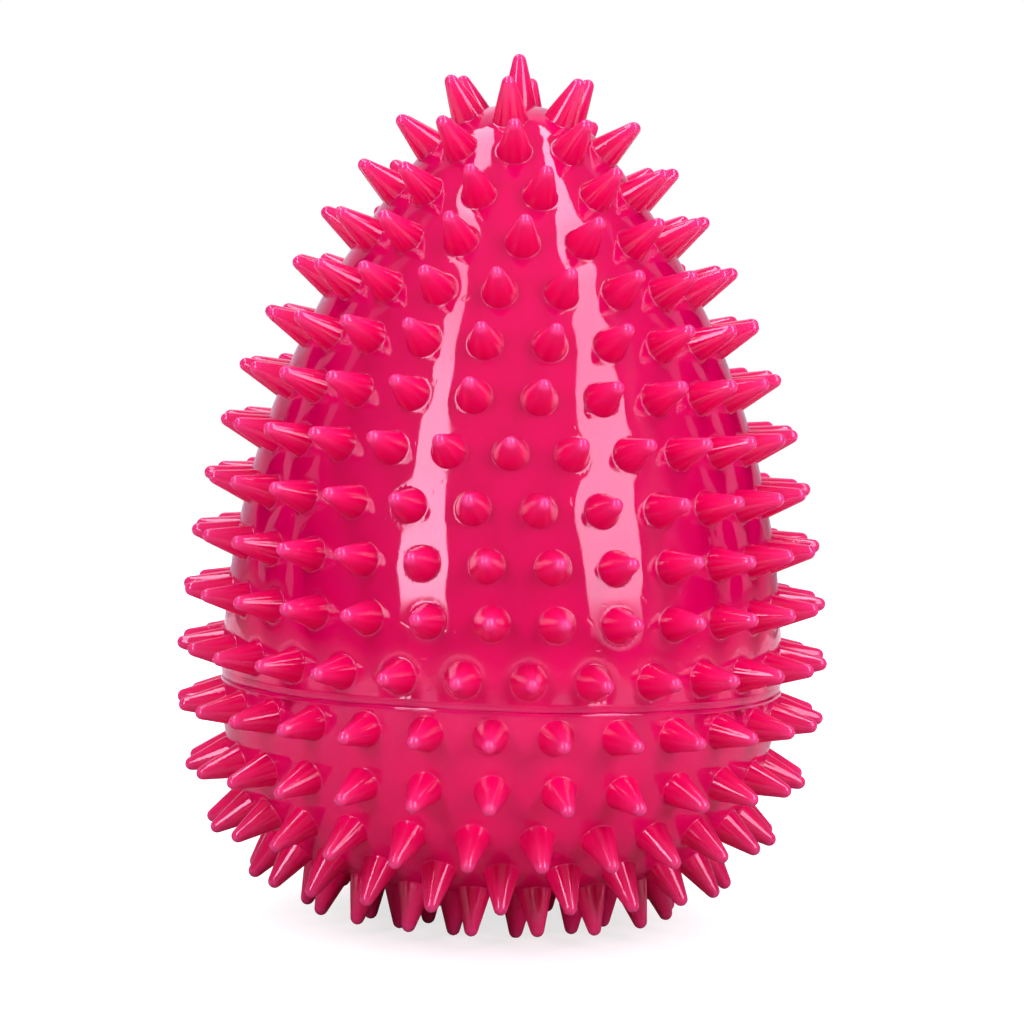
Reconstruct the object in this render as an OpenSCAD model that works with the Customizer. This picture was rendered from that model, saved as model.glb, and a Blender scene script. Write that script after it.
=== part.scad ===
// Hollow spiky egg for a dog to fetch, moulded in soft rubber as two shells.
// Millimetres. The egg stands on its lowest spikes at z = 0 and its axis is Z.
// The front is towards -Y.

/* [Body] */
// Widest diameter of the smooth body, without its spikes
body_d = 83.9; // [78:0.2:90]
// Height of the widest ring above the flat underside
widest_h = 29.8; // [28:0.2:33]
// Radius of the rounded top end
top_r = 16.8; // [14:0.1:20]
// Height that the top end stands above a smooth run into the side curve
top_lift = 0.05; // [0.05:0.01:0.3]
// Radius of the long side curve above the widest ring
side_r = 123; // [110:1:140]
// Radius of the side curve below the widest ring
low_r = 42; // [38:0.2:46]
// Radius of the shoulder that turns into the flat underside
shoulder_r = 22.5; // [20:0.1:25]
// Thickness of the moulded wall
wall = 3; // [2.4:0.1:4]

/* [Spikes] */
// Length of a spike from the body's surface to its tip
spike_l = 6.8; // [5:0.05:8]
// Diameter of a spike where it leaves the body
spike_base_d = 5.2; // [4.5:0.1:6]
// Radius of a spike's rounded tip
spike_tip_r = 1.03; // [0.8:0.01:1.3]

/* [Rings of spikes above the seam] */
// Distance from the pole to the first ring, along the line of the tips
first_ring = 11.3; // [10.5:0.1:13]
// Distance from the pole to the second ring, along the line of the tips
second_ring = 20.7; // [20:0.1:22]
// Distance between the rings that follow, evened out so that a whole number of them fits
upper_pitch = 8.55; // [7.6:0.05:9.5]
// Distance from the last ring down to the seam, along the line of the tips
last_ring = 4.6; // [4:0.1:5]
// Spikes in each ring, from the top down, the last for any more rings too
upper_counts = [6, 10, 13, 16, 19, 21, 23, 26, 26, 27, 28, 28]; // [4:1:28]
// Turn of each ring away from the front, as a share of its spacing
upper_turns = [0.85, 0.94, 0.39, 0.12, 0.78, 0.59, 0.45, 0.04, 0.49, 0.73, 0.83, 0.42]; // [0:0.01:1]

/* [Rings of spikes below the seam] */
// Distance from the seam down to the first ring, along the line of the tips
low_ring = 4.1; // [4:0.1:5]
// Distance between the rings that follow, evened out so that the last one stands on the floor
low_pitch = 9.45; // [8.6:0.05:10.5]
// Spikes in each ring, from the seam down, the last for any more rings too
low_counts = [28, 26, 25, 22, 18, 12]; // [4:1:28]
// Turn of each ring away from the front, as a share of its spacing
low_turns = [0.88, 0.95, 0.7, 0.19, 0.76, 0.46]; // [0:0.01:1]
// Gap between the squeaker's flange and the inner ring on the underside
inner_gap = 1.8; // [1.2:0.1:2.4]
// Spikes in the inner ring
inner_count = 4; // [4:1:5]
// Turn of the inner ring away from the front, as a share of its spacing
inner_turn = 0.43; // [0:0.01:1]

/* [Seam] */
// Height of the seam above the flat underside
seam_h = 29.4; // [28:0.1:30]
// Depth of the groove along the seam
seam_groove = 0.45; // [0.2:0.05:0.8]
// Height of the lower shell's tongue inside the upper shell
tongue_h = 2.6; // [2:0.1:4]
// Gap for the glue around the tongue
glue_gap = 0.15; // [0.1:0.05:0.3]

/* [Squeaker] */
// Outer diameter of the squeaker's barrel
barrel_d = 10.6; // [9:0.1:12]
// Inner diameter of the squeaker's barrel
barrel_bore = 8.2; // [7:0.1:9]
// Length of the barrel above its flange
barrel_l = 12; // [10:0.5:14]
// Diameter of the flange
flange_d = 14; // [13:0.5:15]
// Thickness of the flange
flange_t = 1; // [0.8:0.1:1.5]
// Diameter of the air hole through the flange
air_hole_d = 3.2; // [2:0.1:4]
// Diameter of the collar inside the lower shell that grips the barrel
collar_d = 16.4; // [15:0.2:18]
// Height of that collar above the underside
collar_h = 9; // [7:0.5:10]
// Height of the block that carries the reed
reed_block_h = 6; // [5:0.5:7]
// Width of the air channel in the block
channel_w = 3; // [2:0.1:3.4]
// Width of the reed
reed_w = 3.8; // [3.5:0.1:4.2]
// Length of the reed
reed_l = 5.6; // [5:0.1:5.8]
// Thickness of the reed
reed_t = 0.3; // [0.2:0.05:0.4]
// Gap round the barrel in its collar, and round the block in the barrel
squeaker_gap = 0.1; // [0.05:0.01:0.3]

/* [Hidden] */
$fn = 96;
body_r = body_d / 2;
tip_line = spike_l - spike_tip_r;
stand = spike_l;
// Depth of a spike's root, which stays clear of the rebate that takes half of the wall
spike_root = 0.45 * wall;
// Where the cone of a spike ends, just inside the tip's sphere
tip_turn = 12;
tip_rim_r = 0.99 * spike_tip_r;
reach = 2 * body_d;

// Centres of the outline's four arcs, each as radius and height above the underside
side_c = [body_r - side_r, widest_h];
top_run = sqrt(pow(side_r - top_r, 2) - pow(side_c[0], 2));
top_c = [0, widest_h + top_run + top_lift];
low_c = [body_r - low_r, widest_h];
shoulder_turn = acos(-(widest_h - shoulder_r) / (low_r - shoulder_r));
shoulder_c = low_c + (low_r - shoulder_r) * [sin(shoulder_turn), cos(shoulder_turn)];
// Angle from the axis at which the top's arc runs into the side's arc
top_turn = atan2(-side_c[0], top_run);

// A spike's place is [radius, height, angle from the axis] of the body's surface under it
function on_arc(centre, radius, angle) =
    [centre[0] + radius * sin(angle), centre[1] + radius * cos(angle), angle];
function arc_angle(length, radius) = length / (radius + tip_line) * 180 / PI;
function arc_length(angle, radius) = (radius + tip_line) * angle * PI / 180;

// Distances from the pole along the line of the tips, to where each arc ends and to the seam
top_end = arc_length(top_turn, top_r);
side_end = top_end + arc_length(90 - top_turn, side_r);
low_end = side_end + arc_length(shoulder_turn - 90, low_r);
shoulder_end = low_end + arc_length(180 - shoulder_turn, shoulder_r);
below_widest = widest_h - seam_h;
seam_arc_r = below_widest > 0 ? low_r : side_r;
seam_s = side_end + arc_length(asin(below_widest / seam_arc_r), seam_arc_r);

// Place at a distance from the pole along the line of the tips
function place(s) =
    s < top_end ? on_arc(top_c, top_r, arc_angle(s, top_r))
    : s < side_end ? on_arc(side_c, side_r, top_turn + arc_angle(s - top_end, side_r))
    : s < low_end ? on_arc(low_c, low_r, 90 + arc_angle(s - side_end, low_r))
    : on_arc(shoulder_c, shoulder_r, shoulder_turn + arc_angle(s - low_end, shoulder_r));

// Rings in equal steps near to the pitch, from the second ring to the last above the seam
upper_run = seam_s - last_ring - second_ring;
upper_steps = round(upper_run / upper_pitch);

// Rings in equal steps near to the pitch, from the first below the seam to the standing ring
low_start = seam_s + low_ring;
low_run = shoulder_end - low_start;
low_steps = round(low_run / low_pitch);

function upper_ring(i) = place(i == 0 ? first_ring : second_ring + (i - 1) * upper_run / upper_steps);
function low_ring_place(i) = place(low_start + i * low_run / low_steps);
function nth(list, i) = list[min(i, len(list) - 1)];
inner_ring_r = flange_d / 2 + inner_gap + spike_base_d / 2;

// Half outline of the body, moved inwards by inset
module body_outline(inset) {
    intersection() {
        union() {
            translate(top_c) circle(r = top_r - inset);
            side_area(inset);
            low_area(inset);
            translate(shoulder_c) circle(r = shoulder_r - inset);
            translate([0, inset]) square([shoulder_c[0], widest_h]);
        }
        square([reach, reach]);
    }
}

// Part of the outline that the long side curve bounds
module side_area(inset) {
    intersection() {
        translate(side_c) circle(r = side_r - inset);
        polygon([[0, widest_h], [reach, widest_h], top_c + reach * [sin(top_turn), cos(top_turn)], top_c]);
    }
}

// Part of the outline that the curve below the widest ring bounds
module low_area(inset) {
    intersection() {
        translate(low_c) circle(r = low_r - inset);
        polygon([low_c, [reach, widest_h], [reach, 0], low_c + reach * [sin(shoulder_turn), cos(shoulder_turn)]]);
    }
}

// Half section of the wall between two heights
module wall_section(from, to) {
    intersection() {
        difference() {
            body_outline(0);
            body_outline(wall);
        }
        translate([0, from]) square([reach, to - from]);
    }
}

// Bevel that the two rims leave along the seam
module seam_bevel() {
    translate([body_r, seam_h]) rotate(45) square(seam_groove * sqrt(2), center = true);
}

// One spike along Z, its root below z = 0
module spike() {
    rim = [tip_rim_r * cos(tip_turn), tip_line + tip_rim_r * sin(tip_turn)];
    flare = (spike_base_d / 2 - rim[0]) / rim[1];
    rotate_extrude($fn = 32) {
        polygon([
            [0, -spike_root],
            [spike_base_d / 2 + flare * spike_root, -spike_root],
            rim,
            [0, rim[1]]
        ]);
        intersection() {
            translate([0, tip_line]) circle(r = spike_tip_r);
            translate([0, tip_line]) square(2 * spike_tip_r);
        }
    }
}

// Spikes round one ring, each normal to the body
module spike_ring(place, count, turn) {
    for (k = [0 : count - 1])
        rotate(-90 + (k + turn) * 360 / count)
            translate([place[0], 0, place[1]])
                rotate([0, place[2], 0]) spike();
}

module upper_shell() {
    color("deeppink") translate([0, 0, stand]) {
        rotate_extrude() difference() {
            wall_section(seam_h, reach);
            seam_bevel();
            translate([0, seam_h - 1]) square([body_r - wall / 2, tongue_h + glue_gap + 1]);
        }
        spike_ring(place(0), 1, 0);
        for (i = [0 : upper_steps + 1])
            spike_ring(upper_ring(i), nth(upper_counts, i), nth(upper_turns, i));
    }
}

module lower_shell() {
    color("deeppink") translate([0, 0, stand]) {
        difference() {
            union() {
                rotate_extrude() difference() {
                    wall_section(0, seam_h);
                    seam_bevel();
                }
                tongue();
                cylinder(h = collar_h, d = collar_d);
            }
            translate([0, 0, -1]) cylinder(h = collar_h + 2, d = barrel_d + 2 * squeaker_gap);
            translate([0, 0, -1]) cylinder(h = flange_t + 1, d = flange_d + 2 * squeaker_gap);
        }
        for (i = [0 : low_steps])
            spike_ring(low_ring_place(i), nth(low_counts, i), nth(low_turns, i));
        spike_ring([inner_ring_r, 0, 180], inner_count, inner_turn);
    }
}

// Tongue of the lower shell that stands inside the upper shell
module tongue() {
    translate([0, 0, seam_h - 1]) difference() {
        cylinder(h = tongue_h + 1, r = body_r - wall / 2 - glue_gap);
        translate([0, 0, -1]) cylinder(h = tongue_h + 3, r = body_r - wall);
    }
}

module squeaker_barrel() {
    color("white") translate([0, 0, stand]) difference() {
        union() {
            cylinder(h = flange_t, d = flange_d);
            cylinder(h = flange_t + barrel_l, d = barrel_d);
        }
        translate([0, 0, -1]) cylinder(h = flange_t + 2, d = air_hole_d);
        translate([0, 0, flange_t]) cylinder(h = barrel_l + 1, d = barrel_bore);
    }
}

// Block with an air channel that the reed lies across
module squeaker_reed_block() {
    color("ivory") translate([0, 0, stand + flange_t]) difference() {
        cylinder(h = reed_block_h, d = barrel_bore - 2 * squeaker_gap);
        translate([-channel_w / 2, -channel_w / 2, -1]) cube([channel_w, channel_w, reed_block_h + 2]);
        translate([-reed_w / 2, -reed_l / 2, reed_block_h - reed_t]) cube([reed_w, reed_l, reed_t + 1]);
    }
}

module squeaker_reed() {
    color("gainsboro") translate([-reed_w / 2, -reed_l / 2, stand + flange_t + reed_block_h - reed_t])
        cube([reed_w, reed_l, reed_t]);
}

upper_shell();
lower_shell();
squeaker_barrel();
squeaker_reed_block();
squeaker_reed();
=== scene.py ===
"""Looks of the spiky rubber egg: moulded skin, spikes, glossy rubber, studio light and camera."""
import math
from collections import namedtuple

import bpy
import numpy as np
from mathutils import Matrix, Vector
from mathutils.geometry import delaunay_2d_cdt

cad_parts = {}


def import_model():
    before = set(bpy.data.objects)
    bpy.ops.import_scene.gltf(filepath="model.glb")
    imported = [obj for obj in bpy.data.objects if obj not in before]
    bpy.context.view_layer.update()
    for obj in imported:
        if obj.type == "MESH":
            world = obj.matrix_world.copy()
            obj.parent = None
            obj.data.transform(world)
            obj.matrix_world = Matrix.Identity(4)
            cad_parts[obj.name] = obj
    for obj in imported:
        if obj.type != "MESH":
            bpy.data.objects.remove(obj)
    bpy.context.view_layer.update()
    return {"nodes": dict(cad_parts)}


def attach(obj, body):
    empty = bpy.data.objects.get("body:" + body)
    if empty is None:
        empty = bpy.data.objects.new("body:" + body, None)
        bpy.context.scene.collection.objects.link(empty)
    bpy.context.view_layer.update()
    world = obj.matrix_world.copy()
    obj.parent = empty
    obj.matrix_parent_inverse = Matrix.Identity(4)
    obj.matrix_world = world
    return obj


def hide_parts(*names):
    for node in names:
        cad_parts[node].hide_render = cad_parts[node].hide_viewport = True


MM = 0.001
# Radius below which a point counts as on the axis, in millimetres
ON_AXIS = 1e-9

# Body, in millimetres, with the same values as the CAD model
BODY_R = 41.95
WIDEST_H = 29.8
TOP_R = 16.8
TOP_LIFT = 0.05
SIDE_R = 123.0
LOW_R = 42.0
SHOULDER_R = 22.5
SEAM_H = 29.4
OPENING_R = 7.1

# Spikes and their rings, with the same values as the CAD model
SPIKE_L = 6.8
SPIKE_BASE_R = 2.6
TIP_R = 1.03
FIRST_RING = 11.3
SECOND_RING = 20.7
LAST_RING = 4.6
UPPER_COUNTS = [6, 10, 13, 16, 19, 21, 23, 26, 26, 27, 28, 28]
UPPER_TURNS = [0.85, 0.94, 0.39, 0.12, 0.78, 0.59, 0.45, 0.04, 0.49, 0.73, 0.83, 0.42]
LOW_RING = 4.1
LOW_COUNTS = [28, 26, 25, 22, 18, 12]
LOW_TURNS = [0.88, 0.95, 0.7, 0.19, 0.76, 0.46]
INNER_RING_R = 11.4
INNER_COUNT = 4
INNER_TURN = 0.43

# Heights from the floor, where those above count from the flat underside
STAND = SPIKE_L
WIDEST_Z = WIDEST_H + STAND
SEAM_Z = SEAM_H + STAND

# Distance from the body to the centres of the rounded tips
TIP_LINE = SPIKE_L - TIP_R

# Arcs of the outline: the centre, the radius, and the first and last angle from the axis
Arc = namedtuple("Arc", "centre_r centre_z radius first last")
TOP_RUN = math.sqrt((SIDE_R - TOP_R) ** 2 - (SIDE_R - BODY_R) ** 2)
TOP_TURN = math.atan2(SIDE_R - BODY_R, TOP_RUN)
SHOULDER_TURN = math.acos(-(WIDEST_H - SHOULDER_R) / (LOW_R - SHOULDER_R))
SHOULDER_X = BODY_R - LOW_R + (LOW_R - SHOULDER_R) * math.sin(SHOULDER_TURN)
ARCS = (
    Arc(0.0, WIDEST_Z + TOP_RUN + TOP_LIFT, TOP_R, 0.0, TOP_TURN),
    Arc(BODY_R - SIDE_R, WIDEST_Z, SIDE_R, TOP_TURN, math.pi / 2),
    Arc(BODY_R - LOW_R, WIDEST_Z, LOW_R, math.pi / 2, SHOULDER_TURN),
    Arc(SHOULDER_X, SHOULDER_R + STAND, SHOULDER_R, SHOULDER_TURN, math.pi),
)
ARC_TABLE = np.array(ARCS)
ON_TOP, ON_SIDE, ON_LOW, ON_SHOULDER, ON_FLAT = range(5)

# Lengths along the outline, from the pole to the start of each arc, to the underside and to the seam
ARC_STARTS = np.cumsum([0.0] + [arc.radius * (arc.last - arc.first) for arc in ARCS])
BODY_LENGTH = ARC_STARTS[ON_FLAT] + SHOULDER_X
SEAM_ANGLE = math.asin((WIDEST_H - SEAM_H) / LOW_R)
SEAM_S = ARC_STARTS[ON_LOW] + LOW_R * SEAM_ANGLE

# The same lengths along the line of the tips, and the rings of spikes on that line
TIP_STARTS = np.cumsum([0.0] + [(arc.radius + TIP_LINE) * (arc.last - arc.first) for arc in ARCS])
SEAM_TIP_S = TIP_STARTS[ON_LOW] + (LOW_R + TIP_LINE) * SEAM_ANGLE
UPPER_RINGS = [FIRST_RING, *np.linspace(SECOND_RING, SEAM_TIP_S - LAST_RING, len(UPPER_COUNTS) - 1)]
LOW_RINGS = np.linspace(SEAM_TIP_S + LOW_RING, TIP_STARTS[ON_FLAT], len(LOW_COUNTS))

# Points round a spike, the seam and the opening for the squeaker
SPIKE_SIDES = 24
SEAM_SIDES = 288
OPENING_SIDES = 48

# Radii of the rings of points on the skin round a spike, the first of them its foot
SKIRTS = (2.7, 2.95, 3.35, 3.9)
# Distance that a skirt keeps from the same skirt of another spike, and from its foot
SKIRT_CLEARANCE = 0.35
FOOT_CLEARANCE = 0.3

# Distance between the points of the bare skin, and the one they keep from the last skirt
FILL_STEP = 1.5
FILL_CLEARANCE = 0.6

# Lengths along the outline from the seam to the border of each shell's bare skin
SEAM_REACH = 1.3
LOW_SEAM_REACH = 0.75

# Rows of each shell from its border to the seam: height from the seam and depth below the body
GROOVE = [(0.0, 0.15), (0.0, 2.5)]
UPPER_LIP = [
    (1.1, 0.0), (0.98, -0.03), (0.86, 0.02), (0.6, 0.05), (0.3, 0.05), (0.12, 0.06), (0.04, 0.11), *GROOVE,
]
LOWER_LIP = [
    (-0.66, 0.0), (-0.56, -0.04), (-0.46, 0.0), (-0.3, -0.02), (-0.15, 0.03), (-0.04, 0.11), *GROOVE,
]
# Any radius outside the body, to look for the body from
OUTSIDE_R = 60.0

# Steps at a spike's foot: growth of its radius, and height
FILLET = ((0.04, 0.02), (-0.01, 0.07), (-0.05, 0.2))
# Heights of the rings on a spike's cone, and angles of those on its round tip in degrees
CONE_HEIGHTS = (1.6, 3.4, 5.0)
TIP_ANGLES = (10, 34, 58, 78)
# Radius and height at which the cone meets the round tip
CONE_END_R = 0.97 * TIP_R
CONE_END_H = TIP_LINE + 0.2
# Height above which a spike no longer follows the uneven skin
FOLLOW_H = 2.5

# Long shallow waves of the soft moulding
WAVE_COUNT = 14
WAVE_PHASES = (0.0, 6.28)
WAVE_LENGTHS = (9.0, 24.0)
WAVE_HEIGHT = 0.012

# Sink round a spike's root: reach, radius at half its depth, softness of its edge, and depths
SINK_REACH = 8.0
SINK_R = 3.2
SINK_SOFTNESS = 0.42
SINK_DEPTH = 0.10
SINK_SPREAD = 0.03
SINK_LEAST = 0.03
# Distance within which the sinks of other spikes reach a spike
NEIGHBOUR_REACH = 12.0

# Unevenness of the spikes, as shares of their length
TILT_SPREAD = 0.012
LENGTH_SPREAD = 0.006
# Length of the spike on the pole, as a share of the others'
POLE_LENGTH = 1.09

# Sideways lean of the body below the seam, as a share of the depth, and the depth where it ends
LEAN = 0.035
LEAN_END = 26.0

# Waves round the seam, each as size, number and phase: of its height, and of its lips' depth
SEAM_WANDER = ((0.10, 3, 0.6), (0.06, 7, 2.1), (0.03, 19, 0.0))
LIP_WAVES = ((0.35, 5, 1.0), (0.25, 11, 4.0))

# Triangulation: the whole area inside the outer points, and the distance at which points are one
WHOLE_AREA = 0
SAME_POINT = 1e-7

rng = np.random.default_rng(7)
WAVES = [
    (rng.normal(size=3), rng.uniform(*WAVE_PHASES), rng.uniform(*WAVE_LENGTHS))
    for _ in range(WAVE_COUNT)
]


# Outline of the body

def place(s):
    """Spike's place at a distance from the pole along the line of the tips: radius, height, angle."""
    k = min(ON_SHOULDER, int(np.searchsorted(TIP_STARTS, s, side="right")) - 1)
    arc = ARCS[k]
    angle = arc.first + (s - TIP_STARTS[k]) / (arc.radius + TIP_LINE)
    return (arc.centre_r + arc.radius * math.sin(angle), arc.centre_z + arc.radius * math.cos(angle), angle)


def project(points):
    """Nearest points of the smooth body, the normals there and the lengths from the pole."""
    r = np.hypot(points[:, 0], points[:, 1])
    z = points[:, 2]
    across = points[:, :2] / np.maximum(r, ON_AXIS)[:, None]
    angles = [np.arctan2(r - arc.centre_r, z - arc.centre_z) for arc in ARCS]
    low = z < WIDEST_Z
    on = np.where(low, ON_LOW, ON_SIDE)
    on = np.where(~low & (angles[ON_SIDE] < TOP_TURN), ON_TOP, on)
    on = np.where(low & (angles[ON_LOW] > SHOULDER_TURN), ON_SHOULDER, on)
    flat = (on == ON_SHOULDER) & (r < SHOULDER_X)
    centre_r, centre_z, radius, first, _ = ARC_TABLE[on].T
    angle = np.choose(on, angles)
    body_r = np.where(flat, r, centre_r + radius * np.sin(angle))
    body_z = np.where(flat, STAND, centre_z + radius * np.cos(angle))
    out_r = np.where(flat, 0.0, np.sin(angle))
    out_z = np.where(flat, -1.0, np.cos(angle))
    on_body = np.column_stack([across * body_r[:, None], body_z])
    normals = np.column_stack([across * out_r[:, None], out_z])
    s = np.where(flat, BODY_LENGTH - r, ARC_STARTS[on] + radius * (angle - first))
    return on_body, normals, s


def outline_at(s):
    """Radius and height of the outline at a length from the pole."""
    k = int(np.searchsorted(ARC_STARTS, s, side="right")) - 1
    if k >= ON_FLAT:
        return BODY_LENGTH - s, STAND
    arc = ARCS[k]
    angle = arc.first + (s - ARC_STARTS[k]) / arc.radius
    return arc.centre_r + arc.radius * np.sin(angle), arc.centre_z + arc.radius * np.cos(angle)


def turns(count, shift=0.0):
    """Even turns round the axis, shifted by a share of their spacing."""
    return (np.arange(count) + shift) * 2 * math.pi / count


def circle(r, z, turn):
    """Points round the axis at the given turns."""
    return np.column_stack([r * np.cos(turn), r * np.sin(turn), np.broadcast_to(z, turn.shape)])


# Unevenness of the moulding

def waviness(points):
    """Height of the moulding's waves, in millimetres."""
    total = np.zeros(len(points))
    for direction, phase, length in WAVES:
        unit = direction / np.linalg.norm(direction)
        total += np.sin(points @ unit * 2 * math.pi / length + phase) * length / WAVE_LENGTHS[1]
    return WAVE_HEIGHT * total


def sink(points, spikes):
    """Shallow sink round the root of each spike, where the thick rubber shrank."""
    total = np.zeros(len(points))
    for spike in spikes:
        away = np.linalg.norm(points - spike["at"], axis=1)
        near = away < SINK_REACH
        total[near] -= spike["sink"] / (1 + np.exp((away[near] - SINK_R) / SINK_SOFTNESS))
    return total


def lean(points):
    """Points moved sideways by the lean of the moulding below its seam."""
    below = np.clip(SEAM_Z - points[:, 2], 0.0, LEAN_END)
    moved = points.copy()
    moved[:, 0] -= LEAN * below
    return moved


def skin_points(points, spikes):
    """Points moved onto the moulded skin, and their lengths from the pole."""
    on_body, normals, s = project(points)
    lift = waviness(on_body) + sink(on_body, spikes)
    return on_body + normals * lift[:, None], s


def sines(turn, waves):
    """Sum of waves round the axis, each with its size, number and phase."""
    return sum(size * np.sin(number * turn + phase) for size, number, phase in waves)


# Places of the spikes

def make_spike(radius, height, angle, turn):
    """Frame and small differences of the spike at a place of the outline, at a turn round the axis."""
    around = np.array([math.cos(turn), math.sin(turn), 0.0])
    side = np.array([-math.sin(turn), math.cos(turn), 0.0])
    up = np.array([0.0, 0.0, 1.0])
    normal = around * math.sin(angle) + up * math.cos(angle)
    down = around * math.cos(angle) - up * math.sin(angle)
    tilt = rng.normal(0.0, TILT_SPREAD, 2)
    axis = normal + tilt[0] * down + tilt[1] * side
    return {
        "at": around * radius + up * height,
        "axis": axis / np.linalg.norm(axis),
        "down": down,
        "side": side,
        "length": rng.normal(1.0, LENGTH_SPREAD),
        "sink": max(SINK_LEAST, rng.normal(SINK_DEPTH, SINK_SPREAD)),
    }


def ring_of_spikes(at, count, turn):
    """Spikes of one ring, turned away from the front by a share of their spacing."""
    return [make_spike(*at, math.radians(-90 + (k + turn) * 360 / count)) for k in range(count)]


def upper_spikes():
    """Spikes of the upper shell, from the one on the pole down."""
    spikes = ring_of_spikes(place(0), 1, 0)
    spikes[0]["length"] = POLE_LENGTH
    for s, count, turn in zip(UPPER_RINGS, UPPER_COUNTS, UPPER_TURNS):
        spikes += ring_of_spikes(place(s), count, turn)
    return spikes


def lower_spikes():
    """Spikes of the lower shell, from the seam down, then the inner ring of the underside."""
    spikes = []
    for s, count, turn in zip(LOW_RINGS, LOW_COUNTS, LOW_TURNS):
        spikes += ring_of_spikes(place(s), count, turn)
    return spikes + ring_of_spikes((INNER_RING_R, STAND, math.pi), INNER_COUNT, INNER_TURN)


def spike_feet(spikes):
    return np.array([spike["at"] for spike in spikes])


def round_points(spike, radius):
    """Points of a circle round a spike's foot, in the plane that touches the body."""
    turn = turns(SPIKE_SIDES)
    ring = np.outer(np.cos(turn), spike["down"]) + np.outer(np.sin(turn), spike["side"])
    return spike["at"] + radius * ring


# Points of the bare skin

def distances(points, feet):
    """Distance of each point from each foot."""
    return np.linalg.norm(points[:, None, :] - feet[None, :, :], axis=2)


def fill_points(spikes, s_from, s_to):
    """Even points of the bare skin between the skirts of the spikes."""
    rings = []
    rows = max(2, int(round((s_to - s_from) / FILL_STEP)))
    for row in range(rows + 1):
        r, z = outline_at(s_from + (s_to - s_from) * row / rows)
        count = max(1, int(round(2 * math.pi * r / FILL_STEP)))
        rings.append(circle(r, z, turns(count, 0.5 * (row % 2))))
    points = np.concatenate(rings)
    nearest = np.min(distances(points, spike_feet(spikes)), axis=1)
    return points[nearest > SKIRTS[-1] + FILL_CLEARANCE]


def clear_points(ring, radius, feet, k):
    """Which points of a skirt of spike k stay clear of the other spikes."""
    away = distances(ring, feet)
    away[:, k] = np.inf
    nearest = away.min(axis=1)
    return (nearest > radius + SKIRT_CLEARANCE) & (nearest > SKIRTS[0] + FOOT_CLEARANCE)


def skirt_points(spikes, s_from, s_to):
    """Rings of points round each spike, and for each point the spike whose foot it is on, or -1."""
    feet = spike_feet(spikes)
    points, owner = [], []
    for k, spike in enumerate(spikes):
        for level, radius in enumerate(SKIRTS):
            ring, _, s = project(round_points(spike, radius))
            keep = np.ones(SPIKE_SIDES, bool)
            if level > 0:
                keep = clear_points(ring, radius, feet, k) & (s > s_from) & (s < s_to)
            points.append(ring[keep])
            owner += [k if level == 0 else -1] * int(keep.sum())
    return np.concatenate(points), np.array(owner)


def flatten(s, points, from_below):
    """Plane coordinates of skin points, as distance from the pole or from the underside's centre."""
    away = BODY_LENGTH - s if from_below else s
    turn = np.arctan2(points[:, 1], points[:, 0])
    return np.column_stack([away * np.cos(turn), away * np.sin(turn)])


def triangulate(flat, border, holes):
    """Triangles over the points inside the border, without those that span a hole."""
    edges = []
    for ring in holes + [border]:
        edges += [(int(a), int(b)) for a, b in zip(ring, np.roll(ring, -1))]
    hole_of = {int(v): k for k, ring in enumerate(holes) for v in ring}
    points = [Vector(p) for p in flat]
    _, _, faces, origins, _, _ = delaunay_2d_cdt(points, edges, [], WHOLE_AREA, SAME_POINT)
    back = [ids[0] if ids else -1 for ids in origins]
    triangles = []
    for face in faces:
        ids = [back[v] for v in face]
        touched = {hole_of.get(v, -1) for v in ids}
        inside_hole = len(touched) == 1 and -1 not in touched
        if min(ids) >= 0 and not inside_hole:
            triangles.append(ids)
    return triangles


# Meshes of the shells

class Skin:
    """Growing mesh of a shell: its points, how far up a spike each of them is, and its faces."""

    def __init__(self, points, faces):
        self.points = list(points)
        self.heights = [0.0] * len(points)
        self.faces = faces

    def add(self, points, height):
        """Adds points at one share of a spike's height and returns their numbers."""
        start = len(self.points)
        self.points.extend(points)
        self.heights.extend([height] * len(points))
        return range(start, len(self.points))


def pairs_round(count):
    """Each place in a ring with the next one."""
    return [(i, (i + 1) % count) for i in range(count)]


def spike_profile():
    """Rings of a spike from its fillet to its tip: radius and height."""
    flare = (SPIKE_BASE_R - CONE_END_R) / CONE_END_H
    rings = [(SPIKE_BASE_R + grow, height) for grow, height in FILLET]
    rings += [(SPIKE_BASE_R - flare * height, height) for height in CONE_HEIGHTS]
    for degrees in TIP_ANGLES:
        turn = math.radians(degrees)
        rings.append((TIP_R * math.cos(turn), TIP_LINE + TIP_R * math.sin(turn)))
    return rings


def add_spike(skin, spike, neighbours, foot):
    """Adds the rings and the tip of one spike above its foot, which follow the uneven skin at first."""
    below = foot
    for radius, height in spike_profile():
        ring = round_points(spike, radius)
        on_body, normals, _ = project(ring)
        follow = max(0.0, 1.0 - height / FOLLOW_H)
        lift = (waviness(on_body) + sink(on_body, neighbours)) * follow
        ring = ring + (on_body - ring) * follow + normals * lift[:, None]
        ring = ring + spike["axis"] * height * spike["length"]
        above = skin.add(ring, min(1.0, height / SPIKE_L))
        for i, j in pairs_round(SPIKE_SIDES):
            skin.faces.append((below[i], below[j], above[j], above[i]))
        below = above
    tip = skin.add([spike["at"] + spike["axis"] * SPIKE_L * spike["length"]], 1.0)[0]
    for i, j in pairs_round(SPIKE_SIDES):
        skin.faces.append((below[i], below[j], tip))


def add_spikes(skin, spikes, foot_rings):
    """Adds all the spikes of a shell above the rings of their feet."""
    feet = spike_feet(spikes)
    for spike, foot in zip(spikes, foot_rings):
        near = np.linalg.norm(feet - spike["at"], axis=1) < NEIGHBOUR_REACH
        neighbours = [spikes[i] for i in np.flatnonzero(near)]
        add_spike(skin, spike, neighbours, foot.tolist())


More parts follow.
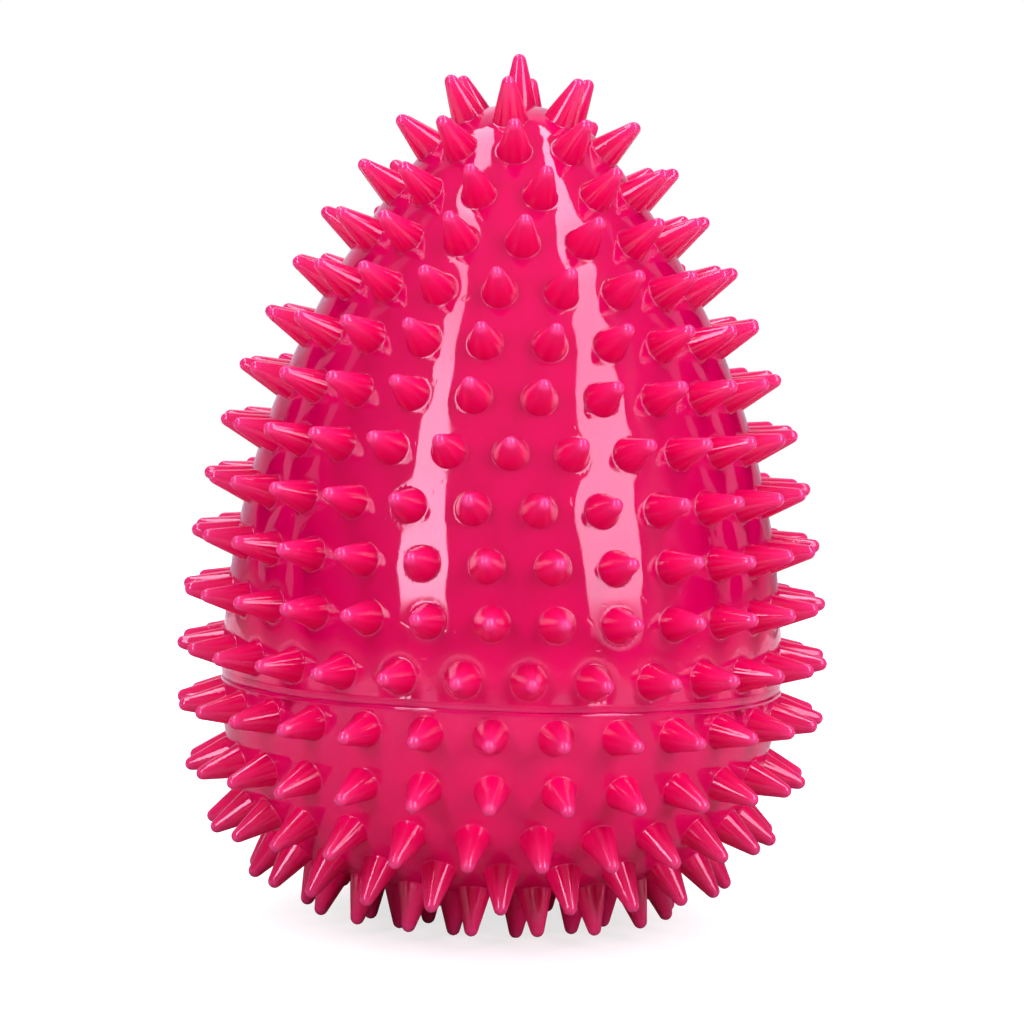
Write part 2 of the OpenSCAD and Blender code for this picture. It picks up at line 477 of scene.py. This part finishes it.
def add_seam(skin, border, lip, upward):
    """Adds the rows that turn the skin's border into the lip and the groove of the seam."""
    turn = turns(SEAM_SIDES)
    wander = sines(turn, SEAM_WANDER)
    uneven = sines(turn, LIP_WAVES)
    below = border
    for rise, depth in lip:
        height = SEAM_Z + rise + wander
        outside = np.column_stack([np.full(SEAM_SIDES, OUTSIDE_R), np.zeros(SEAM_SIDES), height])
        body_r = project(outside)[0][:, 0]
        near_seam = max(0.0, 1.0 - abs(rise) / LOW_SEAM_REACH)
        above = skin.add(circle(body_r - depth * (1 + uneven * near_seam), height, turn), 0.0)
        for i, j in pairs_round(SEAM_SIDES):
            quad = (below[i], above[i], above[j], below[j])
            skin.faces.append(quad if upward else quad[::-1])
        below = above


def add_object(name, data):
    """Object of a mesh or a camera, in the scene."""
    made = bpy.data.objects.new(name, data)
    bpy.context.scene.collection.objects.link(made)
    return made


def skin_object(name, skin):
    """Smooth object of a shell's skin, which holds each point's share of a spike's height."""
    mesh = bpy.data.meshes.new(name)
    mesh.from_pydata((lean(np.array(skin.points)) * MM).tolist(), [], skin.faces)
    mesh.update()
    height = mesh.attributes.new("height", "FLOAT", "POINT")
    height.data.foreach_set("value", np.array(skin.heights, np.float32))
    mesh.shade_smooth()
    return add_object(name, mesh)


def upper_rubber():
    """Upper shell as one skin, from the pole to the seam."""
    spikes = upper_spikes()
    border_s = SEAM_S - SEAM_REACH
    skirts, owner = skirt_points(spikes, 0.0, border_s)
    fill = fill_points(spikes, 0.0, border_s - FILL_STEP)
    return moulded("upper_rubber", spikes, owner, [skirts, fill], border_s, UPPER_LIP, False)


def lower_rubber():
    """Lower shell as one skin, from the seam to the opening in the underside."""
    spikes = lower_spikes()
    border_s = SEAM_S + LOW_SEAM_REACH
    skirts, owner = skirt_points(spikes, border_s, BODY_LENGTH)
    fill = fill_points(spikes, border_s + FILL_STEP, BODY_LENGTH)
    return moulded("lower_rubber", spikes, owner, [skirts, fill], border_s, LOWER_LIP, True)


def moulded(name, spikes, owner, skin_parts, border_s, lip, from_below):
    """One moulded shell: its bare skin, then its spikes and its half of the seam."""
    border_points = circle(*outline_at(border_s), turns(SEAM_SIDES))
    start = sum(len(part) for part in skin_parts)
    border = np.arange(start, start + SEAM_SIDES)
    holes = [np.flatnonzero(owner == k) for k in range(len(spikes))]
    parts = skin_parts + [border_points]
    if from_below:
        parts.append(circle(OPENING_R, STAND, turns(OPENING_SIDES)))
        holes.append(border[-1] + 1 + np.arange(OPENING_SIDES))
    points = np.concatenate(parts)
    moved, s = skin_points(points, spikes)
    moved[border] = border_points
    triangles = triangulate(flatten(s, points, from_below), border, holes)
    skin = Skin(moved, [ids[::-1] if from_below else ids for ids in triangles])
    add_spikes(skin, spikes, holes)
    add_seam(skin, border.tolist(), lip, not from_below)
    return skin_object(name, skin)


# Nodes of the materials

def new_material(name):
    material = bpy.data.materials.new(name)
    material.use_nodes = True
    return material, material.node_tree.nodes, material.node_tree.links


def feed(links, value, socket):
    """Gives a socket another socket's value, or a plain number or colour."""
    if isinstance(value, bpy.types.NodeSocket):
        links.new(value, socket)
    else:
        socket.default_value = value


def attribute(nodes, name):
    node = nodes.new("ShaderNodeAttribute")
    node.attribute_name = name
    return node.outputs["Fac"]


def texture_coordinate(nodes, kind):
    return nodes.new("ShaderNodeTexCoord").outputs[kind]


def height_of(nodes, links, vector):
    node = nodes.new("ShaderNodeSeparateXYZ")
    links.new(vector, node.inputs["Vector"])
    return node.outputs["Z"]


def math_node(nodes, links, operation, *values):
    """Result of a sum with sockets and plain numbers."""
    node = nodes.new("ShaderNodeMath")
    node.operation = operation
    for value, socket in zip(values, node.inputs):
        feed(links, value, socket)
    return node.outputs["Value"]


def vector_node(nodes, links, operation, *values):
    """Vector maths on sockets and plain vectors, as a node, because its outputs differ."""
    node = nodes.new("ShaderNodeVectorMath")
    node.operation = operation
    for value, socket in zip(values, node.inputs):
        feed(links, value, socket)
    return node


def map_range(nodes, links, value, limits, results):
    """Value that runs from one result to the other between two limits of another value."""
    node = nodes.new("ShaderNodeMapRange")
    for name, number in zip(("From Min", "From Max", "To Min", "To Max"), (*limits, *results)):
        node.inputs[name].default_value = number
    links.new(value, node.inputs["Value"])
    return node.outputs["Result"]


def mix_colours(nodes, links, share, first, second):
    """Colour between two others, by the share of the second."""
    node = nodes.new("ShaderNodeMix")
    node.data_type = "RGBA"
    for value, name in ((share, "Factor"), (first, "A"), (second, "B")):
        feed(links, value, node.inputs[name])
    return node.outputs["Result"]


def ramp(nodes, links, source, stops):
    """Colour ramp fed by a value: stops of position and colour."""
    node = nodes.new("ShaderNodeValToRGB")
    elements = node.color_ramp.elements
    while len(elements) < len(stops):
        elements.new(0.5)
    for element, (position, colour) in zip(elements, stops):
        element.position = position
        element.color = (*colour, 1.0)
    links.new(source, node.inputs["Fac"])
    return node.outputs["Color"]


def noise(nodes, links, scale, detail):
    node = nodes.new("ShaderNodeTexNoise")
    node.inputs["Scale"].default_value = scale
    node.inputs["Detail"].default_value = detail
    links.new(texture_coordinate(nodes, "Object"), node.inputs["Vector"])
    return node.outputs["Fac"]


def bump(nodes, links, height, strength, distance):
    node = nodes.new("ShaderNodeBump")
    node.inputs["Strength"].default_value = strength
    node.inputs["Distance"].default_value = distance
    links.new(height, node.inputs["Height"])
    return node.outputs["Normal"]


# Materials

# Colours up a spike, from the skin between the spikes to the tip, on the body's upper part: the rubber's
# pink, growing paler up the spike as painted glow of light through the thin rubber and painted sheen
UPPER_PINKS_AND_PAINTED_GLOW = [
    (0.0, (0.69, 0.0004, 0.098)),
    (0.15, (0.77, 0.0004, 0.096)),
    (0.45, (0.86, 0.004, 0.124)),
    (0.8, (0.88, 0.018, 0.165)),
    (1.0, (0.95, 0.04, 0.235)),
]
# The same on its lowest part, with the skin paler as painted light on the shaded bottom, and the tips paler
# as painted glow
LOWER_PINKS_AND_PAINTED_LIGHT = [
    (0.0, (0.95, 0.0004, 0.130)),
    (0.3, (0.84, 0.003, 0.108)),
    (0.8, (0.84, 0.015, 0.140)),
    (1.0, (0.90, 0.05, 0.215)),
]
# Heights, in metres, between which the lower colours, with their painted light, run into the upper ones
PAINTED_LIGHT_HEIGHTS = (0.012, 0.054)

# Sparse pits: scale of their noise, its values at a pit's edge and floor, and the bump of it
PIT_SCALE = 800.0
PIT_NOISE = (0.75, 0.82)
PIT_STRENGTH = 0.25
PIT_DEPTH = 0.00004

# Mottle of the squeaker's plastics: its noise, and the shares of the colour at two of its values
MOTTLE_SCALE = 160.0
MOTTLE_DETAIL = 3.0
MOTTLE_SHADES = ((0.3, 0.94), (0.7, 1.0))


def pits(nodes, links):
    """Sparse small pits, as the normal of a bump: the highest spots of a fine noise sink in."""
    height = map_range(nodes, links, noise(nodes, links, PIT_SCALE, 0.0), PIT_NOISE, (1.0, 0.0))
    return bump(nodes, links, height, PIT_STRENGTH, PIT_DEPTH)


def pink_rubber():
    """Glossy, slightly translucent thermoplastic rubber, painted paler up the spikes as glow and sheen, and
    paler near the bottom as painted light.
    """
    material, nodes, links = new_material("pink_rubber")
    up_spike = attribute(nodes, "height")
    # Ramps up each spike: their paler flanks and tips are painted glow and sheen
    upper = ramp(nodes, links, up_spike, UPPER_PINKS_AND_PAINTED_GLOW)
    lower = ramp(nodes, links, up_spike, LOWER_PINKS_AND_PAINTED_LIGHT)
    height = height_of(nodes, links, texture_coordinate(nodes, "Object"))
    # Below these heights the colours take the painted light of the bottom
    rise = map_range(nodes, links, height, PAINTED_LIGHT_HEIGHTS, (0.0, 1.0))
    shader = nodes["Principled BSDF"]
    links.new(mix_colours(nodes, links, rise, lower, upper), shader.inputs["Base Color"])
    shader.inputs["Roughness"].default_value = 0.055
    shader.inputs["IOR"].default_value = 1.6
    shader.inputs["Specular Tint"].default_value = (1.0, 0.8, 1.0, 1.0)
    shader.inputs["Subsurface Weight"].default_value = 0.4
    shader.inputs["Subsurface Radius"].default_value = (1.0, 0.12, 0.3)
    shader.inputs["Subsurface Scale"].default_value = 0.003
    links.new(pits(nodes, links), shader.inputs["Normal"])
    return material


def plain_plastic(name, colour, roughness):
    """Moulded plastic of one colour with a faint mottle."""
    material, nodes, links = new_material(name)
    shader = nodes["Principled BSDF"]
    stops = [(position, tuple(share * c for c in colour)) for position, share in MOTTLE_SHADES]
    mottle = ramp(nodes, links, noise(nodes, links, MOTTLE_SCALE, MOTTLE_DETAIL), stops)
    links.new(mottle, shader.inputs["Base Color"])
    shader.inputs["Roughness"].default_value = roughness
    return material


# Studio, in metres

# Light panels stand on a sphere round the egg, each row of them split into columns
PANEL_CENTRE = Vector((0, 0, 0.06))
PANEL_DISTANCE = 1.6
PANEL_COLUMNS = 5
COOL_WHITE = (1.0, 1.0, 1.12)
ROSE_WHITE = (1.0, 0.82, 1.06)

# Strips of light: name, first and last azimuth
STRIPS = (
    ("strip_left_rear", -124, -117),
    ("strip_left_side", -102, -96),
    ("strip_right_rear", 118, 126),
    ("strip_right_side", 100, 106),
)
STRIP_TOP = 50
STRIP_RADIANCE = 0.45

# Azimuths of the bright wall behind the egg
BACKDROP = (149, 222)

# The studio's own dim light: direction and growth of its bright side, and the dark that it starts from
BRIGHT_SIDE = (0, -0.17, 0.28)
DARKNESS = -0.035
# Pale table below the horizon: heights between which it starts, and its brightness
TABLE_EDGE = (0.04, -0.06)
TABLE_LIGHT = 0.35

FLOOR_REACH = 0.6
# Pink of the floor, painted light that stands in for the pink light the egg throws onto it
FLOOR_PAINTED_PINK_LIGHT = (1.0, 0.8, 0.86)
# Floor's values that run with the distance from the egg's foot: distances, and values at them. The first
# pair darkens the floor's colour near the egg, a painted shade round its foot
PAINTED_SHADE_AWAY, PAINTED_SHADE = (0.05, 0.3), (0.35, 0.75)
SHINE_AWAY, SHINE = (0.15, 0.4), (0.0, 0.15)
WHITE_AWAY, WHITE = (0.03, 0.08), (0.73, 1.0)
# Stretch of the white's distances to the sides, which narrows the shade beside the egg
WHITE_STRETCH = 1.7

# Camera, as found from the places of the tips in the photograph
CAMERA_ELEVATION = math.radians(5.835)
CAMERA_ROLL = math.radians(1.783)
CAMERA_DISTANCE = 0.7128
CAMERA_TARGET = Vector((0, 0, 0.04395))
SENSOR_WIDTH = 36
LENS = 167.1
# Width of the picture, and the target's place in it, in pixels
PICTURE = 1024
TARGET_X = 502.87
TARGET_Y = 627.96


def direction(azimuth, elevation):
    """Unit vector from the egg: azimuth 0 is the camera's side, and + turns to the right in the picture."""
    a = math.radians(azimuth)
    e = math.radians(elevation)
    return Vector((math.cos(e) * math.sin(a), -math.cos(e) * math.cos(a), math.sin(e)))


def glowing(name, colour):
    """Material that gives off light by the glow that its mesh holds."""
    material, nodes, links = new_material(name)
    nodes.remove(nodes["Principled BSDF"])
    emission = nodes.new("ShaderNodeEmission")
    links.new(attribute(nodes, "glow"), emission.inputs["Strength"])
    emission.inputs["Color"].default_value = (*colour, 1.0)
    links.new(emission.outputs["Emission"], nodes["Material Output"].inputs["Surface"])
    return material


def light_panel(name, rows, colour=COOL_WHITE, fade=0.0):
    """Bent light panel round the egg: rows of elevation, first and last azimuth, and radiance.

    The fade is the share of its radiance that it loses towards its sides.
    """
    verts = []
    for elevation, first, last, _ in rows:
        for azimuth in np.linspace(first, last, PANEL_COLUMNS):
            verts.append(PANEL_CENTRE + PANEL_DISTANCE * direction(azimuth, elevation))
    faces = []
    for row in range(len(rows) - 1):
        for k in range(PANEL_COLUMNS - 1):
            a = row * PANEL_COLUMNS + k
            faces.append((a, a + 1, a + PANEL_COLUMNS + 1, a + PANEL_COLUMNS))
    mesh = bpy.data.meshes.new(name)
    mesh.from_pydata(verts, [], faces)
    across = 1.0 - fade * np.abs(np.linspace(-1.0, 1.0, PANEL_COLUMNS))
    radiance = np.outer([row[3] for row in rows], across)
    glow = mesh.attributes.new("glow", "FLOAT", "POINT")
    glow.data.foreach_set("value", radiance.ravel().astype(np.float32))
    mesh.materials.append(glowing(name, colour))
    panel = add_object(name, mesh)
    panel.visible_camera = False
    panel.visible_shadow = False


def studio_lights():
    """Two large soft boxes, a small one above, a faint spill, four strips and the wall behind."""
    light_panel("softbox_left", [
        (4.5, -42, -26, 0.4),
        (6.8, -43, -24.5, 7.8),
        (16, -44.5, -26, 8.4),
        (24, -45, -28.5, 7.8),
        (38, -46, -32.5, 7.4),
        (52, -51, -38, 4.8),
        (60, -80, -50, 6.0),
        (66, -106, -64, 8.0),
    ])
    light_panel("softbox_right", [
        (2, 36, 58, 0.2),
        (8.5, 34, 60, 5.4),
        (16, 33, 60, 5.8),
        (24, 33, 60.5, 6.0),
        (38, 38, 67, 5.5),
        (48, 44, 74, 5.3),
        (60, 50, 79, 7.4),
        (68, 58, 100, 8.0),
        (72, 75, 130, 8.0),
        (64, 128, 154, 7.0),
    ])
    light_panel("spill_right", [
        (0, 57, 76, 0.4),
        (45, 66, 86, 0.4),
    ], fade=0.8)
    light_panel("softbox_top_left", [
        (51, -146, -141, 6.0),
        (58.5, -145, -103, 6.0),
        (61, -145, -86, 6.0),
        (67, -145, -68, 6.0),
        (71.6, -125, -62, 6.0),
        (73.5, -95, -70, 6.0),
    ])
    for name, first, last in STRIPS:
        light_panel(name, [
            (1, first, last, STRIP_RADIANCE),
            (STRIP_TOP, first, last, STRIP_RADIANCE),
        ], ROSE_WHITE)
    light_panel("bright_backdrop", [
        (-14, *BACKDROP, 0.5),
        (0.5, *BACKDROP, 0.8),
        (30, *BACKDROP, 1.2),
        (60, *BACKDROP, 1.2),
    ], ROSE_WHITE, fade=0.75)


def world():
    """White for the camera, and for the rest a dim studio, brighter in front and above, on a pale table."""
    made = bpy.data.worlds.new("studio")
    bpy.context.scene.world = made
    made.use_nodes = True
    nodes, links = made.node_tree.nodes, made.node_tree.links
    towards = texture_coordinate(nodes, "Generated")
    facing = vector_node(nodes, links, "DOT_PRODUCT", towards, BRIGHT_SIDE)
    studio = math_node(nodes, links, "ADD", facing.outputs["Value"], DARKNESS)
    table = map_range(nodes, links, height_of(nodes, links, towards), TABLE_EDGE, (0.0, TABLE_LIGHT))
    around = math_node(nodes, links, "MAXIMUM", studio, table)
    seen = nodes.new("ShaderNodeLightPath").outputs["Is Camera Ray"]
    links.new(mix_colours(nodes, links, seen, around, (1, 1, 1, 1)), nodes["Background"].inputs["Color"])


def by_distance(nodes, links, distances, values, sideways=1.0):
    """Value that runs with the distance from the egg's foot, which may be stretched to the sides."""
    position = nodes.new("ShaderNodeNewGeometry").outputs["Position"]
    stretched = vector_node(nodes, links, "MULTIPLY", position, (sideways, 1.0, 1.0))
    away = vector_node(nodes, links, "LENGTH", stretched.outputs["Vector"])
    return map_range(nodes, links, away.outputs["Value"], distances, values)


def floor():
    """Pale floor that keeps the egg's shadow, its colour darker near the egg as painted shade and tinted
    pink as painted light.

    Away from the egg it looks white to the camera, and further away faintly pale in reflections.
    """
    mesh = bpy.data.meshes.new("floor")
    corners = [(x * FLOOR_REACH, y * FLOOR_REACH, 0) for x, y in ((-1, -1), (1, -1), (1, 1), (-1, 1))]
    mesh.from_pydata(corners, [], [(0, 1, 2, 3)])
    material, nodes, links = new_material("floor")
    shader = nodes["Principled BSDF"]
    # Floor colour: painted shade darker near the egg, tinted pink as painted light
    painted_shade_and_pink = vector_node(nodes, links, "SCALE", FLOOR_PAINTED_PINK_LIGHT)
    links.new(by_distance(nodes, links, PAINTED_SHADE_AWAY, PAINTED_SHADE), painted_shade_and_pink.inputs["Scale"])
    links.new(painted_shade_and_pink.outputs["Vector"], shader.inputs["Base Color"])
    shader.inputs["Roughness"].default_value = 0.9
    shader.inputs["Specular IOR Level"].default_value = 0.0
    shader.inputs["Emission Color"].default_value = (1, 1, 1, 1)
    path = nodes.new("ShaderNodeLightPath")
    white = by_distance(nodes, links, WHITE_AWAY, WHITE, WHITE_STRETCH)
    seen = math_node(nodes, links, "MULTIPLY", path.outputs["Is Camera Ray"], white)
    shine = by_distance(nodes, links, SHINE_AWAY, SHINE)
    strength = math_node(nodes, links, "MULTIPLY_ADD", path.outputs["Is Glossy Ray"], shine, seen)
    links.new(strength, shader.inputs["Emission Strength"])
    mesh.materials.append(material)
    add_object("floor", mesh)


def camera():
    """Camera at the photograph's viewing angle, turned by the angle that the toy leans in it."""
    data = bpy.data.cameras.new("camera")
    data.sensor_width = SENSOR_WIDTH
    data.lens = LENS
    data.shift_x = (PICTURE / 2 - TARGET_X) / PICTURE
    data.shift_y = (TARGET_Y - PICTURE / 2) / PICTURE
    data.clip_start = 0.01
    forward = Vector((0, math.cos(CAMERA_ELEVATION), -math.sin(CAMERA_ELEVATION)))
    level = Vector((1, 0, 0))
    upright = level.cross(forward)
    right = math.cos(CAMERA_ROLL) * level + math.sin(CAMERA_ROLL) * upright
    up = math.cos(CAMERA_ROLL) * upright - math.sin(CAMERA_ROLL) * level
    turn = Matrix((right, up, -forward)).transposed().to_4x4()
    made = add_object("camera", data)
    made.matrix_world = Matrix.Translation(CAMERA_TARGET - CAMERA_DISTANCE * forward) @ turn
    bpy.context.scene.camera = made


# The scene

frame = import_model()

rubber = pink_rubber()
for piece, node in ((upper_rubber(), "upper_shell"), (lower_rubber(), "lower_shell")):
    piece.data.materials.append(rubber)
    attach(piece, "root")
    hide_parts(node)

squeaker = plain_plastic("squeaker_plastic", (0.85, 0.85, 0.8), 0.45)
film = plain_plastic("reed_film", (0.7, 0.72, 0.72), 0.3)
plastics = {"squeaker_barrel": squeaker, "squeaker_reed_block": squeaker, "squeaker_reed": film}
for node, material in plastics.items():
    frame["nodes"][node].data.materials.clear()
    frame["nodes"][node].data.materials.append(material)

world()
floor()
studio_lights()
camera()
bpy.context.scene.view_settings.view_transform = "Standard"
